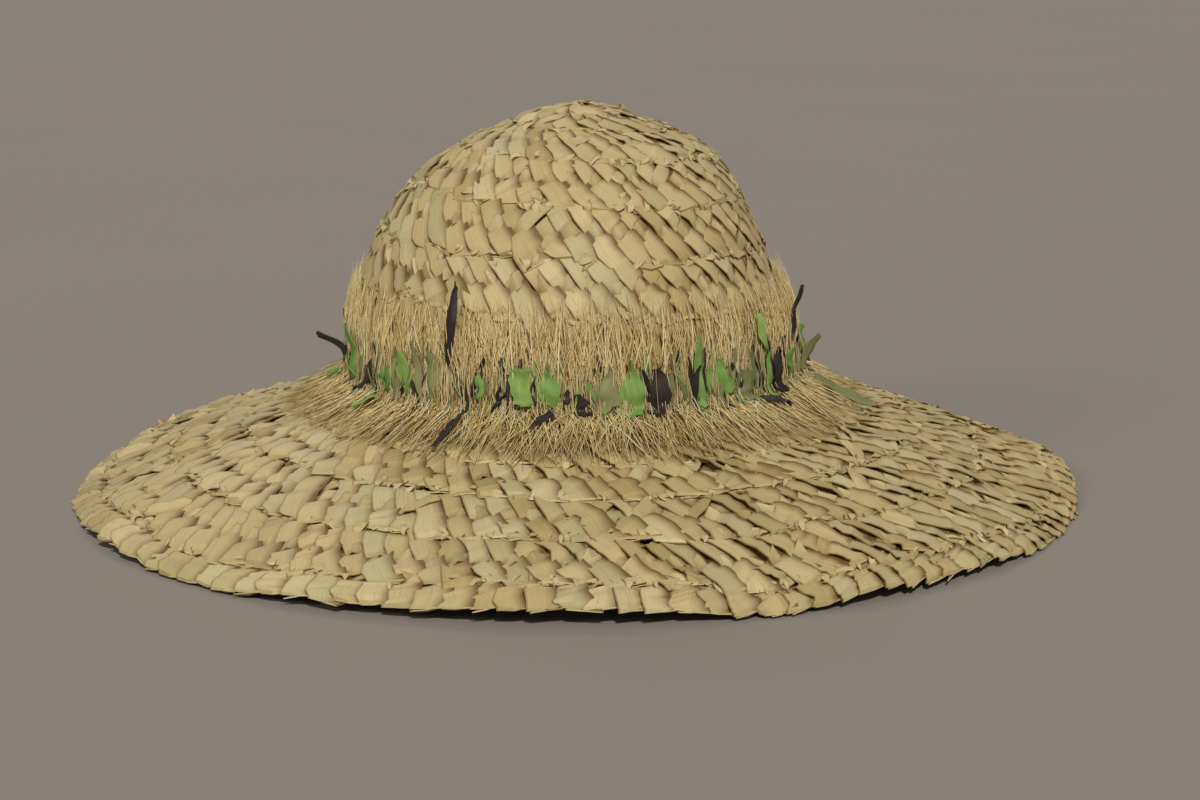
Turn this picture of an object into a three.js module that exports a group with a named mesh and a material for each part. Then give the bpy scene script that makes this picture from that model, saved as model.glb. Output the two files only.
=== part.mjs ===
// A capeline: a wide-brimmed sun hat of plaited palm-leaf straw. A band of loose fibres is tied round the
// foot of its crown with two twines, and short strips of coloured leaf are tucked into the band.
// Millimetres, +Z up. The hat stands on its rim on the plane z = 0, with its front towards -Y.
// The origin is on that plane, in the middle of the rim.

import * as THREE from 'three';

// Driving dimensions
const wall = 2.6;            // thickness of the plaited straw
const rimWall = 3.2;         // the last row of braid is folded double at its edge
const seamGap = 0.4;         // clear space between two pieces
const rimDrop = 7.5;         // from the rim's mean line down to its lowest waves, which carry the hat
const hatHeight = 165;       // tip of the crown over the rim's mean line
const crownFoot = 38.5;      // seam between crown and brim, over the same line
const rimSeam = 8.5;         // seam between the brim and its last row of braid
const upperTie = 60;         // heights of the two threads that tie the fibres
const lowerTie = 45.5;
const threadRadius = 0.6;
const leafWall = 0.6;
const leafSteps = 6;         // stretches along one leaf strip

// Heights of the rows of facets, shared by neighbouring pieces so that their faces stay parallel
const crownRows = [
  hatHeight, 162.2, 155.5, 147, 136, 123, 108, 91, 80, 68, upperTie, 53, lowerTie, 42, crownFoot,
];
const brimRows = [crownFoot - seamGap, 33, 28.5, 22, 15, rimSeam];
const rimRows = [rimSeam - seamGap, 4.2, 0];

// Steps round the hat, chosen so that the rim's lowest points fall on corners
const crownSteps = 48;
const brimSteps = 72;
const rimSteps = 96;
const bandSteps = 48;

// The outer face of the hat from the crown's tip to the rim: radius, height over the rim's mean line,
// and how far the section's centre lies towards +X.
const hatSections = [
  { radius: 0, height: hatHeight, lean: 2.5 },
  { radius: 14.5, height: 162.2, lean: 2 },
  { radius: 34, height: 155, lean: 1.5 },
  { radius: 52, height: 147, lean: 1 },
  { radius: 66, height: 135.5, lean: -1.5 },
  { radius: 76, height: 123.5, lean: -2.5 },
  { radius: 83.5, height: 110, lean: -3.5 },
  { radius: 90, height: 94, lean: -3.5 },
  { radius: 94, height: 76, lean: -2.5 },
  { radius: 95.5, height: 58, lean: -1.5 },
  { radius: 96.5, height: 46, lean: -1 },
  { radius: 101, height: 38, lean: 0 },
  { radius: 125, height: 29.5, lean: 0 },
  { radius: 162, height: 19.5, lean: 0 },
  { radius: 198, height: rimSeam, lean: 0 },
  { radius: 225, height: 0, lean: 0 },
];

// Waves of the brim: each one sinks the rim by drop and carries it outwards by reach.
const brimWaves = [
  { azimuth: -176.25, halfWidth: 38, drop: rimDrop, reach: 0 },
  { azimuth: -133, halfWidth: 26, drop: 5.5, reach: 1.5 },
  { azimuth: -111, halfWidth: 16, drop: 2.6, reach: -1 },
  { azimuth: -70, halfWidth: 17, drop: 5.2, reach: 1 },
  { azimuth: -48, halfWidth: 18, drop: 3.4, reach: -1.5 },
  { azimuth: -22.5, halfWidth: 30, drop: rimDrop, reach: 0.5 },
  { azimuth: 26, halfWidth: 25, drop: 4.5, reach: -1 },
  { azimuth: 78.75, halfWidth: 34, drop: rimDrop, reach: 0 },
  { azimuth: 123, halfWidth: 26, drop: 3, reach: -1.5 },
];
const waveStart = 112;       // radius where the waves begin

// Dents (depth over 0) and bumps (depth under 0) of the crown.
const crownDents = [
  { azimuth: -8, halfWidth: 42, height: 140, halfHeight: 20, depth: -3.2 },
  { azimuth: 172, halfWidth: 50, height: 142, halfHeight: 22, depth: 1.2 },
  { azimuth: -62, halfWidth: 26, height: 132, halfHeight: 24, depth: 2.2 },
  { azimuth: -118, halfWidth: 30, height: 118, halfHeight: 28, depth: -1.4 },
  { azimuth: -95, halfWidth: 22, height: 100, halfHeight: 22, depth: 1.3 },
  { azimuth: 60, halfWidth: 34, height: 126, halfHeight: 30, depth: 2.4 },
  { azimuth: 118, halfWidth: 30, height: 112, halfHeight: 30, depth: -1.6 },
];

// The fibre band from its loose upper tips to its loose lower tips: height on the hat's face, and depth
// of the fibres there. The two shallow rows are where the threads pull them in.
const bandSections = [
  { height: 91, depth: 1.6 },
  { height: 80, depth: 4.2 },
  { height: 68, depth: 5.2 },
  { height: upperTie, depth: 3.6 },
  { height: 53, depth: 5.2 },
  { height: lowerTie, depth: 4 },
  { height: 42, depth: 5.6 },
  { height: crownFoot, depth: 6.6 },
  { height: 33, depth: 5.6 },
  { height: 28.5, depth: 1.8 },
];

// Strips of coloured leaf on the front and the sides: azimuth of the middle, heights of the ends, width,
// how far the azimuth runs on from top to bottom, and how far each end curls away from the band.
const frontLeaves = [
  { tint: 'green', azimuth: -177, top: 50, bottom: 34, width: 7, slant: -3, topCurl: 1, bottomCurl: 3 },
  { tint: 'dark', azimuth: -171, top: 62, bottom: 53, width: 4, slant: 2, topCurl: 14, bottomCurl: 0 },
  { tint: 'green', azimuth: -160, top: 70, bottom: 46, width: 9, slant: 3, topCurl: 3, bottomCurl: 1 },
  { tint: 'dark', azimuth: -151, top: 58, bottom: 40, width: 6, slant: -8, topCurl: 1, bottomCurl: 1 },
  { tint: 'green', azimuth: -145.5, top: 43, bottom: 27, width: 6, slant: -5, topCurl: 0, bottomCurl: 2 },
  { tint: 'green', azimuth: -141.5, top: 57, bottom: 46, width: 6, slant: 1, topCurl: 0, bottomCurl: 0 },
  { tint: 'green', azimuth: -134, top: 64, bottom: 45, width: 9, slant: -1, topCurl: 2, bottomCurl: 1 },
  { tint: 'olive', azimuth: -125.5, top: 68, bottom: 47, width: 5, slant: -1, topCurl: 1, bottomCurl: 0 },
  { tint: 'dark', azimuth: -120, top: 95, bottom: 62, width: 5, slant: 0, topCurl: 1, bottomCurl: 0 },
  { tint: 'dark', azimuth: -117, top: 57, bottom: 29.5, width: 6, slant: -1, topCurl: 0, bottomCurl: 1 },
  { tint: 'green', azimuth: -112.5, top: 61, bottom: 50, width: 4, slant: 0, topCurl: 0, bottomCurl: 0 },
  { tint: 'dark', azimuth: -107.5, top: 54, bottom: 44, width: 5, slant: -4, topCurl: 0, bottomCurl: 1 },
  { tint: 'green', azimuth: -101.5, top: 64, bottom: 47, width: 10, slant: -1, topCurl: 1, bottomCurl: 2 },
  { tint: 'dark', azimuth: -97.5, top: 44.5, bottom: 32, width: 9, slant: -3, topCurl: 0, bottomCurl: 1 },
  { tint: 'green', azimuth: -96, top: 62, bottom: 49, width: 6, slant: 0, topCurl: 1, bottomCurl: 0 },
  { tint: 'dark', azimuth: -92, top: 55, bottom: 46, width: 4, slant: 0, topCurl: 0, bottomCurl: 0 },
  { tint: 'dark', azimuth: -88.5, top: 54, bottom: 42, width: 6, slant: 0, topCurl: 1, bottomCurl: 1 },
  { tint: 'olive', azimuth: -82, top: 61, bottom: 45, width: 8, slant: 0, topCurl: 0, bottomCurl: 1 },
  { tint: 'green', azimuth: -76.5, top: 62, bottom: 38, width: 9, slant: 0, topCurl: 1, bottomCurl: 1 },
  { tint: 'dark', azimuth: -70, top: 63, bottom: 37.5, width: 8, slant: 0, topCurl: 1, bottomCurl: 1 },
  { tint: 'green', azimuth: -58.3, top: 75, bottom: 43, width: 7, slant: 0, topCurl: 1, bottomCurl: 1 },
  { tint: 'green', azimuth: -51.5, top: 64, bottom: 49, width: 6, slant: 1, topCurl: 0, bottomCurl: 0 },
  { tint: 'olive', azimuth: -44.5, top: 58, bottom: 42, width: 8, slant: 1, topCurl: 1, bottomCurl: 1 },
  { tint: 'dark', azimuth: -38, top: 42, bottom: 31, width: 7, slant: 6, topCurl: 0, bottomCurl: 1 },
  { tint: 'green', azimuth: -36, top: 79, bottom: 61, width: 6, slant: 3, topCurl: 2, bottomCurl: 0 },
  { tint: 'dark', azimuth: -31, top: 62, bottom: 39, width: 6, slant: 0, topCurl: 2, bottomCurl: 1 },
  { tint: 'green', azimuth: -23, top: 61, bottom: 47, width: 8, slant: 3, topCurl: 4, bottomCurl: 1 },
  { tint: 'dark', azimuth: -17, top: 84, bottom: 66, width: 5, slant: -6, topCurl: 8, bottomCurl: 1 },
  { tint: 'olive', azimuth: -11, top: 61, bottom: 46, width: 6, slant: -3, topCurl: 10, bottomCurl: 1 },
  { tint: 'olive', azimuth: -10, top: 37, bottom: 27.5, width: 7, slant: 2, topCurl: 1, bottomCurl: 2 },
];

// The back has the same kinds of strip at even spacing, each kind in turn
const backLeafCount = 16;
const backStart = 1;
const backSpacing = 10.7;
const backKinds = [
  { tint: 'green', top: 63, bottom: 46, width: 8, slant: 1, topCurl: 2, bottomCurl: 1 },
  { tint: 'dark', top: 57, bottom: 36, width: 6, slant: -2, topCurl: 0, bottomCurl: 2 },
  { tint: 'olive', top: 70, bottom: 49, width: 6, slant: 2, topCurl: 2, bottomCurl: 0 },
  { tint: 'green', top: 55, bottom: 31, width: 7, slant: -3, topCurl: 0, bottomCurl: 2 },
  { tint: 'dark', top: 80, bottom: 50, width: 5, slant: 1, topCurl: 4, bottomCurl: 0 },
];

const leafTints = {
  green: 0x5a963c,
  olive: 0x6e7846,
  dark: 0x2d262a,
};

// 1 in the middle of a window, falling smoothly to 0 at its half width
function bump(distance, halfWidth) {
  return Math.abs(distance) < halfWidth ? Math.cos((Math.PI / 2) * (distance / halfWidth)) ** 2 : 0;
}

function angleBetween(a, b) {
  return ((((a - b) % 360) + 540) % 360) - 180;
}

const hatCurve = new THREE.CatmullRomCurve3(
  hatSections.map((row) => new THREE.Vector3(row.radius, row.height, row.lean)),
  false,
  'centripetal',
);
hatCurve.arcLengthDivisions = 400;

// Share of the curve's length from the tip to the place where it comes down to a height
function shareAtHeight(height) {
  let above = 0;
  let below = 1;
  while (below - above > 1e-6) {
    const middle = (above + below) / 2;
    if (hatCurve.getPointAt(middle).y > height) above = middle;
    else below = middle;
  }
  return (above + below) / 2;
}

function dentDepth(azimuth, height) {
  return crownDents.reduce((sum, row) => (
    sum + row.depth * bump(angleBetween(azimuth, row.azimuth), row.halfWidth)
      * bump(height - row.height, row.halfHeight)
  ), 0);
}

// The waves join smoothly: where two meet, the deeper one leads
function waveDrop(azimuth) {
  const power = 4;
  return brimWaves.reduce((sum, row) => (
    sum + (row.drop * bump(angleBetween(azimuth, row.azimuth), row.halfWidth)) ** power
  ), 0) ** (1 / power);
}

function waveReach(azimuth) {
  return brimWaves.reduce((sum, row) => (
    sum + row.reach * bump(angleBetween(azimuth, row.azimuth), row.halfWidth)
  ), 0);
}

// A point at a share of the section's length and an azimuth, standing off the hat's outer face
function facePoint(share, azimuth, standOff) {
  const onFace = hatCurve.getPointAt(share);
  const tangent = hatCurve.getTangentAt(share);
  const slope = Math.hypot(tangent.x, tangent.y);
  const radius = onFace.x - (tangent.y / slope) * standOff;
  const height = onFace.y + (tangent.x / slope) * standOff;
  const waveShare = THREE.MathUtils.smoothstep(onFace.x, waveStart, hatSections.at(-1).radius) ** 2;
  const dented = Math.max(0, radius - dentDepth(azimuth, onFace.y)) + waveReach(azimuth) * waveShare;
  const turn = THREE.MathUtils.degToRad(azimuth);
  return new THREE.Vector3(
    onFace.z + dented * Math.cos(turn),
    dented * Math.sin(turn),
    height - waveDrop(azimuth) * waveShare + rimDrop,
  );
}

function meshGeometry(points, triangles) {
  const geometry = new THREE.BufferGeometry();
  geometry.setAttribute('position', new THREE.Float32BufferAttribute(points.flatMap((p) => p.toArray()), 3));
  geometry.setIndex(triangles);
  geometry.computeVertexNormals();
  return geometry;
}

// A closed body swept round the hat. sectionAt(azimuth) lists the points of its section, with the outer
// face going down or outwards first. A point on the axis is the same for every azimuth.
function sweepRound(sectionAt, steps) {
  const points = [];
  const numberOf = new Map();
  const rings = Array.from({ length: steps }, (_, step) => sectionAt((360 * step) / steps).map((point) => {
    const key = point.toArray().map((value) => value.toFixed(5)).join();
    if (!numberOf.has(key)) numberOf.set(key, points.push(point) - 1);
    return numberOf.get(key);
  }));
  const triangles = [];
  const addTriangle = (a, b, c) => {
    if (a !== b && b !== c && a !== c) triangles.push(a, b, c);
  };
  rings.forEach((ring, step) => {
    const nextRing = rings[(step + 1) % steps];
    ring.forEach((corner, i) => {
      const j = (i + 1) % ring.length;
      addTriangle(corner, ring[j], nextRing[j]);
      addTriangle(corner, nextRing[j], nextRing[i]);
    });
  });
  return meshGeometry(points, triangles);
}

// A wall of straw: outer face through its rows, then back along the inner face
function straw(rows, thickness, steps) {
  const shares = rows.map(shareAtHeight);
  return sweepRound((azimuth) => [
    ...shares.map((share) => facePoint(share, azimuth, 0)),
    ...shares.toReversed().map((share) => facePoint(share, azimuth, -thickness)),
  ], steps);
}

// Depth of the fibres over the straw at a height
function bandDepth(height) {
  const below = bandSections.findIndex((row) => row.height <= height);
  if (below === 0) return bandSections[0].depth;
  if (below < 0) return bandSections.at(-1).depth;
  const upper = bandSections[below - 1];
  const lower = bandSections[below];
  return THREE.MathUtils.mapLinear(height, upper.height, lower.height, upper.depth, lower.depth);
}

// The fibre band: outer form downwards, then back up along the straw
function fibreBand() {
  const rows = bandSections.map((row) => ({ share: shareAtHeight(row.height), depth: row.depth }));
  return sweepRound((azimuth) => [
    ...rows.map((row) => facePoint(row.share, azimuth, seamGap + row.depth)),
    ...rows.toReversed().map((row) => facePoint(row.share, azimuth, seamGap)),
  ], bandSteps);
}

// Stand-off of a thread's middle, in the waist that it pulls into the band
function threadStand(height) {
  return seamGap + bandDepth(height) + seamGap + threadRadius;
}

function tieThread(height) {
  const sides = 4;
  const reach = threadRadius / hatCurve.getLength();
  const share = shareAtHeight(height);
  return sweepRound((azimuth) => Array.from({ length: sides }, (_, side) => {
    const turn = (2 * Math.PI * side) / sides;
    const standOff = threadStand(height) + threadRadius * Math.cos(turn);
    return facePoint(share + reach * Math.sin(turn), azimuth, standOff);
  }), bandSteps);
}

// Stand-off that keeps a leaf strip clear of fibres and threads
function leafStand(height) {
  const tieReach = 5;
  const overTie = [upperTie, lowerTie]
    .filter((tie) => Math.abs(height - tie) < tieReach)
    .map((tie) => threadStand(tie) + threadRadius);
  return Math.max(seamGap + bandDepth(height), ...overTie) + seamGap + leafWall;
}

// One strip: a thin blade with narrowed, curled ends that follows the band
function leafStrip(leaf) {
  const narrowing = 0.45;
  const topShare = shareAtHeight(leaf.top);
  const bottomShare = shareAtHeight(leaf.bottom);
  const corners = [[-1, 1], [1, 1], [1, -1], [-1, -1]];    // side of the strip, and over or under it
  const points = [];
  for (let step = 0; step <= leafSteps; step += 1) {
    const along = step / leafSteps;
    const share = THREE.MathUtils.lerp(topShare, bottomShare, along);
    const onFace = hatCurve.getPointAt(share);
    const middle = leaf.azimuth + leaf.slant * (along - 0.5);
    const fullness = 1 - narrowing * Math.abs(2 * along - 1) ** 3;
    const halfAngle = THREE.MathUtils.radToDeg((leaf.width * fullness) / (2 * onFace.x));
    const curl = leaf.topCurl * (1 - along) ** 2 + leaf.bottomCurl * along ** 2;
    corners.forEach(([side, over]) => {
      const standOff = leafStand(onFace.y) + curl + (over * leafWall) / 2;
      points.push(facePoint(share, middle + side * halfAngle, standOff));
    });
  }
  const triangles = [];
  const addQuad = (a, b, c, d) => triangles.push(a, b, c, a, c, d);
  for (let step = 0; step < leafSteps; step += 1) {
    for (let corner = 0; corner < 4; corner += 1) {
      const here = 4 * step;
      const next = here + 4;
      const after = (corner + 1) % 4;
      addQuad(here + after, here + corner, next + corner, next + after);
    }
  }
  const last = 4 * leafSteps;
  addQuad(0, 1, 2, 3);
  addQuad(last + 3, last + 2, last + 1, last);
  return meshGeometry(points, triangles);
}

const hat = new THREE.Group();

function addPiece(name, geometry, color, roughness) {
  const piece = new THREE.Mesh(geometry, new THREE.MeshStandardMaterial({ color, roughness, metalness: 0 }));
  piece.name = name;
  hat.add(piece);
}

const strawColor = 0xc8b78a;
const strawRoughness = 0.75;
addPiece('crown', straw(crownRows, wall, crownSteps), strawColor, strawRoughness);
addPiece('brim', straw(brimRows, wall, brimSteps), strawColor, strawRoughness);
addPiece('rim_braid', straw(rimRows, rimWall, rimSteps), strawColor, strawRoughness);
addPiece('fringe_band', fibreBand(), 0xb49b69, 0.85);
addPiece('tie_thread_upper', tieThread(upperTie), 0xd7c8a0, 0.6);
addPiece('tie_thread_lower', tieThread(lowerTie), 0xd7c8a0, 0.6);

const backLeaves = Array.from({ length: backLeafCount }, (_, i) => ({
  ...backKinds[i % backKinds.length],
  azimuth: backStart + backSpacing * i,
}));
[...frontLeaves, ...backLeaves].forEach((leaf, i) => {
  const name = `leaf_strip_${leaf.tint}_${String(i + 1).padStart(2, '0')}`;
  addPiece(name, leafStrip(leaf), leafTints[leaf.tint], 0.55);
});

export default hat;
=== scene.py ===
import math
import bpy
import numpy as np
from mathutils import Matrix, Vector


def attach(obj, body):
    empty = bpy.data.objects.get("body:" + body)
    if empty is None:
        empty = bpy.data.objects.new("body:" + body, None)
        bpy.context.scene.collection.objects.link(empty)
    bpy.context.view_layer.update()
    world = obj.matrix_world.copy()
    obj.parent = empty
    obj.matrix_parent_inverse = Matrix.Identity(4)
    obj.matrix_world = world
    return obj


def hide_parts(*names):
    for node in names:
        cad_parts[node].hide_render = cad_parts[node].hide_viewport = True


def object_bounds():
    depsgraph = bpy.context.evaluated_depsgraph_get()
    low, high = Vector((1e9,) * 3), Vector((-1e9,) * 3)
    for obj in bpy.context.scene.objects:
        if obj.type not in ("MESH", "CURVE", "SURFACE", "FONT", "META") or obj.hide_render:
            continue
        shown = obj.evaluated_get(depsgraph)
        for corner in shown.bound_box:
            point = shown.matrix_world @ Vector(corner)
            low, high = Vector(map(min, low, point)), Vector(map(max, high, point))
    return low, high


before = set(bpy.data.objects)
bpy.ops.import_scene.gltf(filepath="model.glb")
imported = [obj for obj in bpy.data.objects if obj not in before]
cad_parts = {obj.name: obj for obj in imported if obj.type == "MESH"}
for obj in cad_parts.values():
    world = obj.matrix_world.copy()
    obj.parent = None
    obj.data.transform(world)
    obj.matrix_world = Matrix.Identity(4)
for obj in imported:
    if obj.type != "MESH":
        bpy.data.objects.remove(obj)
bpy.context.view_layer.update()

mm = 0.001
rng = np.random.default_rng(20)

# the hat's face: radius, height over the rim's mean line, and lean of the section's centre, in mm
hatFace = {
    "radius": [0, 14.5, 34, 52, 66, 76, 83.5, 90, 94, 95.5, 96.5, 101, 125, 162, 198, 225],
    "height": [165, 162.2, 155, 147, 135.5, 123.5, 110, 94, 76, 58, 46, 38, 29.5, 19.5, 8.5, 0],
    "lean": [2.5, 2, 1.5, 1, -1.5, -2.5, -3.5, -3.5, -2.5, -1.5, -1, 0, 0, 0, 0, 0],
    "rimDrop": 7.5,  # from the rim's mean line down to the floor
    "waveStart": 112,  # radius where the brim starts to wave
    "rimRadius": 225,
    "give": 0.35,  # what would reach under the floor is pressed up to this share of its depth
    "carriedOn": 20,  # steps of the dense table that are added past the rim
}

# waves of the brim: azimuth and half width in degrees, drop and reach in mm
brimWaves = {
    "azimuth": [-176.25, -133, -111, -70, -48, -22.5, 26, 78.75, 123],
    "halfWidth": [38, 26, 16, 17, 18, 30, 25, 34, 26],
    "drop": [7.5, 5.5, 2.6, 5.2, 3.4, 7.5, 4.5, 7.5, 3],
    "reach": [0, 1.5, -1, 1, -1.5, 0.5, -1, 0, -1.5],
}

# dents (depth over 0) and bumps of the crown
crownDents = {
    "azimuth": [-8, 172, -62, -118, -95, 60, 118],
    "halfWidth": [42, 50, 26, 30, 22, 34, 30],
    "height": [140, 142, 132, 118, 100, 126, 112],
    "halfHeight": [20, 22, 24, 28, 22, 30, 30],
    "depth": [-3.2, 1.2, 2.2, -1.4, 1.3, 2.4, -1.6],
}


def centripetalCurve(points, stepsEach=60):
    # a smooth curve through the points, its speed set by the square root of each gap
    points = np.asarray(points, float)
    ends = np.vstack([2 * points[0] - points[1], points, 2 * points[-1] - points[-2]])
    share = np.linspace(0, 1, stepsEach, endpoint=False)[:, None]
    pieces = []
    for before, a, b, after in zip(ends, ends[1:], ends[2:], ends[3:]):
        pairs = (before, a), (a, b), (b, after)
        gapIn, gap, gapOut = (math.sqrt(np.linalg.norm(q - p)) for p, q in pairs)
        slopeA = ((a - before) / gapIn - (b - before) / (gapIn + gap) + (b - a) / gap) * gap
        slopeB = ((b - a) / gap - (after - a) / (gap + gapOut) + (after - b) / gapOut) * gap
        cubic = 2 * a - 2 * b + slopeA + slopeB
        square = -3 * a + 3 * b - 2 * slopeA - slopeB
        pieces.append(((cubic * share + square) * share + slopeA) * share + a)
    return np.vstack(pieces + [points[-1:]])


# the face as a dense table over the distance from the tip, carried straight on past the rim
faceLine = centripetalCurve(np.column_stack([hatFace[c] for c in ("radius", "height", "lean")])) * mm
faceLine = np.vstack([faceLine, faceLine[-1] + (faceLine[-1] - faceLine[-2]) * hatFace["carriedOn"]])
faceArc = np.concatenate([[0], np.cumsum(np.linalg.norm(np.diff(faceLine[:, :2], axis=0), axis=1))])
faceSlope = np.gradient(faceLine[:, :2], faceArc, axis=0)
faceSlope /= np.linalg.norm(faceSlope, axis=1)[:, None]


def radiusAt(arc):
    return np.interp(arc, faceArc, faceLine[:, 0])


def bump(distance, halfWidth):
    # 1 in the middle, falling smoothly to 0 at the half width
    return np.where(np.abs(distance) < halfWidth, np.cos(math.pi / 2 * distance / halfWidth) ** 2, 0)


def turnedBy(azimuth, middle):
    # degrees from the middle to the azimuth, the short way round
    return (azimuth - middle + 180) % 360 - 180


def tableBumps(table, azimuth):
    return [bump(turnedBy(azimuth, middle), halfWidth)
            for middle, halfWidth in zip(table["azimuth"], table["halfWidth"])]


def facePoint(arc, azimuth, standOff):
    # points at distances from the tip and azimuths in radians, standing off the hat's outer face
    turn = np.where(arc < 0, azimuth + math.pi, azimuth)
    arc = np.abs(arc)
    radius, height, lean = (np.interp(arc, faceArc, faceLine[:, i]) for i in range(3))
    outward, rise = (np.interp(arc, faceArc, faceSlope[:, i]) for i in range(2))
    degrees = np.degrees(turn)
    waveShare = (radius / mm - hatFace["waveStart"]) / (hatFace["rimRadius"] - hatFace["waveStart"])
    waveShare = np.clip(waveShare, 0, 1)
    waveShare = (waveShare ** 2 * (3 - 2 * waveShare)) ** 2
    waves = tableBumps(brimWaves, degrees)
    drop = sum((d * w) ** 4 for d, w in zip(brimWaves["drop"], waves)) ** 0.25
    reach = sum(r * w for r, w in zip(brimWaves["reach"], waves))
    dents = (crownDents[column] for column in ("depth", "height", "halfHeight"))
    dent = sum(w * depth * bump(height / mm - middle, half)
               for w, depth, middle, half in zip(tableBumps(crownDents, degrees), *dents))
    radius = radius - rise * standOff - dent * mm + reach * waveShare * mm
    height = height + outward * standOff - drop * waveShare * mm + hatFace["rimDrop"] * mm
    height = np.maximum(height, height * hatFace["give"])
    return np.stack([lean + radius * np.cos(turn), radius * np.sin(turn), height], axis=-1)


# small helpers for modelling
def deselectAll():
    if bpy.context.object and bpy.context.object.mode != "OBJECT":
        bpy.ops.object.mode_set(mode="OBJECT")
    bpy.ops.object.select_all(action="DESELECT")


def makeActive(piece):
    deselectAll()
    piece.select_set(True)
    bpy.context.view_layer.objects.active = piece


def selectEdges(piece, wanted):
    # in edit mode, select the edges whose two ends pass the test
    bpy.ops.object.mode_set(mode="EDIT")
    bpy.ops.mesh.select_mode(type="EDGE")
    bpy.ops.mesh.select_all(action="DESELECT")
    bpy.ops.object.mode_set(mode="OBJECT")
    points = piece.data.vertices
    for edge in piece.data.edges:
        edge.select = bool(wanted(*(points[i].co for i in edge.vertices)))
    bpy.ops.object.mode_set(mode="EDIT")


def patternParts(pattern):
    # a pattern, and where its points lie: 0 to 1 along it, -0.5 to 0.5 across and over it
    points = np.empty(len(pattern.data.vertices) * 3)
    pattern.data.vertices.foreach_get("co", points)
    flat = np.round(points.reshape(-1, 3), 4)
    return pattern, flat[:, 0] + 0.5, flat[:, 1], flat[:, 2]


def gridBlade(name, along, across):
    # a flat blade along X, one long and one wide
    deselectAll()
    bpy.ops.mesh.primitive_grid_add(x_subdivisions=along, y_subdivisions=across, size=1, calc_uvs=True)
    blade = bpy.context.object
    blade.name = name
    return patternParts(blade)[:3]


def copiesOf(blade, name, places, tone, depth=None):
    # one joined mesh of copies of a blade: places holds each copy's points, depth the painted shade at each
    # point
    count, each, _ = places.shape
    source = blade.data
    corners = np.empty(len(source.loops), int)
    source.loops.foreach_get("vertex_index", corners)
    sizes = np.empty(len(source.polygons), int)
    source.polygons.foreach_get("loop_total", sizes)
    uvs = np.empty(len(source.loops) * 2)
    source.uv_layers[0].data.foreach_get("uv", uvs)
    allCorners = (corners[None, :] + each * np.arange(count)[:, None]).ravel()
    allSizes = np.tile(sizes, count)
    mesh = bpy.data.meshes.new(name)
    mesh.vertices.add(count * each)
    mesh.vertices.foreach_set("co", places.ravel())
    mesh.loops.add(len(allCorners))
    mesh.loops.foreach_set("vertex_index", allCorners)
    mesh.polygons.add(len(allSizes))
    mesh.polygons.foreach_set("loop_start", np.concatenate([[0], np.cumsum(allSizes)[:-1]]))
    mesh.update(calc_edges=True)
    mesh.uv_layers.new(name="UVMap").data.foreach_set("uv", np.tile(uvs, count))
    mesh.attributes.new("tone", "FLOAT", "POINT").data.foreach_set("value", np.repeat(tone, each))
    if depth is not None:
        mesh.attributes.new("depth", "FLOAT", "POINT").data.foreach_set("value", depth.ravel())
    piece = bpy.data.objects.new(name, mesh)
    bpy.context.collection.objects.link(piece)
    return piece


def roundStrand(name, sides, stretches):
    # a strand along X, one long and one thick, cut into stretches
    deselectAll()
    bpy.ops.mesh.primitive_cylinder_add(vertices=sides, radius=0.5, depth=1, rotation=(0, math.pi / 2, 0))
    strand = bpy.context.object
    strand.name = name
    bpy.ops.object.transform_apply(rotation=True)
    selectEdges(strand, lambda a, b: abs(a.x - b.x) > 0.5)
    bpy.ops.mesh.subdivide(number_cuts=stretches - 1)
    bpy.ops.object.mode_set(mode="OBJECT")
    return patternParts(strand)


def giveWall(piece, thickness, angle=50):
    makeActive(piece)
    wall = piece.modifiers.new("wall", "SOLIDIFY")
    wall.thickness = thickness * mm
    wall.offset = 0
    bpy.ops.object.modifier_apply(modifier=wall.name)
    bpy.ops.object.shade_smooth_by_angle(angle=math.radians(angle))


def finishPiece(piece, material, slot, *nodes):
    piece.data.materials.clear()
    piece.data.materials.append(material)
    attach(piece, "root")
    if nodes:
        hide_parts(*nodes)


# shader helpers
class Wire:
    # a node's output, so that sums on it add Math nodes
    def __init__(self, tree, socket=None):
        self.tree = tree
        self.socket = socket

    def node(self, kind, settings=None, inputs=None, output=0):
        made = self.tree.nodes.new(kind)
        for key, value in (settings or {}).items():
            if key == "stops":
                ramp = made.color_ramp
                while len(ramp.elements) < len(value):
                    ramp.elements.new(0.5)
                for element, (position, colour) in zip(ramp.elements, value):
                    element.position = position
                    element.color = colour
            else:
                setattr(made, key, value)
        for key, value in (inputs or {}).items():
            if isinstance(value, Wire):
                self.tree.links.new(value.socket, made.inputs[key])
            else:
                made.inputs[key].default_value = value
        return Wire(self.tree, made.outputs[output] if made.outputs else None)

    def math(self, operation, first, second):
        return self.node("ShaderNodeMath", {"operation": operation}, {0: first, 1: second})

    def __add__(self, other):
        return self.math("ADD", self, other)

    def __sub__(self, other):
        return self.math("SUBTRACT", self, other)

    def __rsub__(self, other):
        return self.math("SUBTRACT", other, self)

    def __mul__(self, other):
        return self.math("MULTIPLY", self, other)

    def __pow__(self, other):
        return self.math("POWER", self, other)

    def __rpow__(self, other):
        return self.math("POWER", other, self)

    __radd__ = __add__
    __rmul__ = __mul__

    def mixed(self, first, second):
        # two colours mixed by this wire
        return self.node("ShaderNodeMix", {"data_type": "RGBA"}, {0: self, 6: first, 7: second}, 2)

    def ranged(self, low, high, least=0.0, most=1.0):
        return self.node("ShaderNodeMapRange", inputs={0: self, 1: low, 2: high, 3: least, 4: most})

    def noise(self, scale, detail):
        return self.node("ShaderNodeTexNoise", inputs={"Vector": self, "Scale": scale, "Detail": detail})


def newMaterial(name):
    material = bpy.data.materials.new(name)
    material.use_nodes = True
    tree = material.node_tree
    shader = tree.nodes["Principled BSDF"]
    return material, Wire(tree), shader


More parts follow.
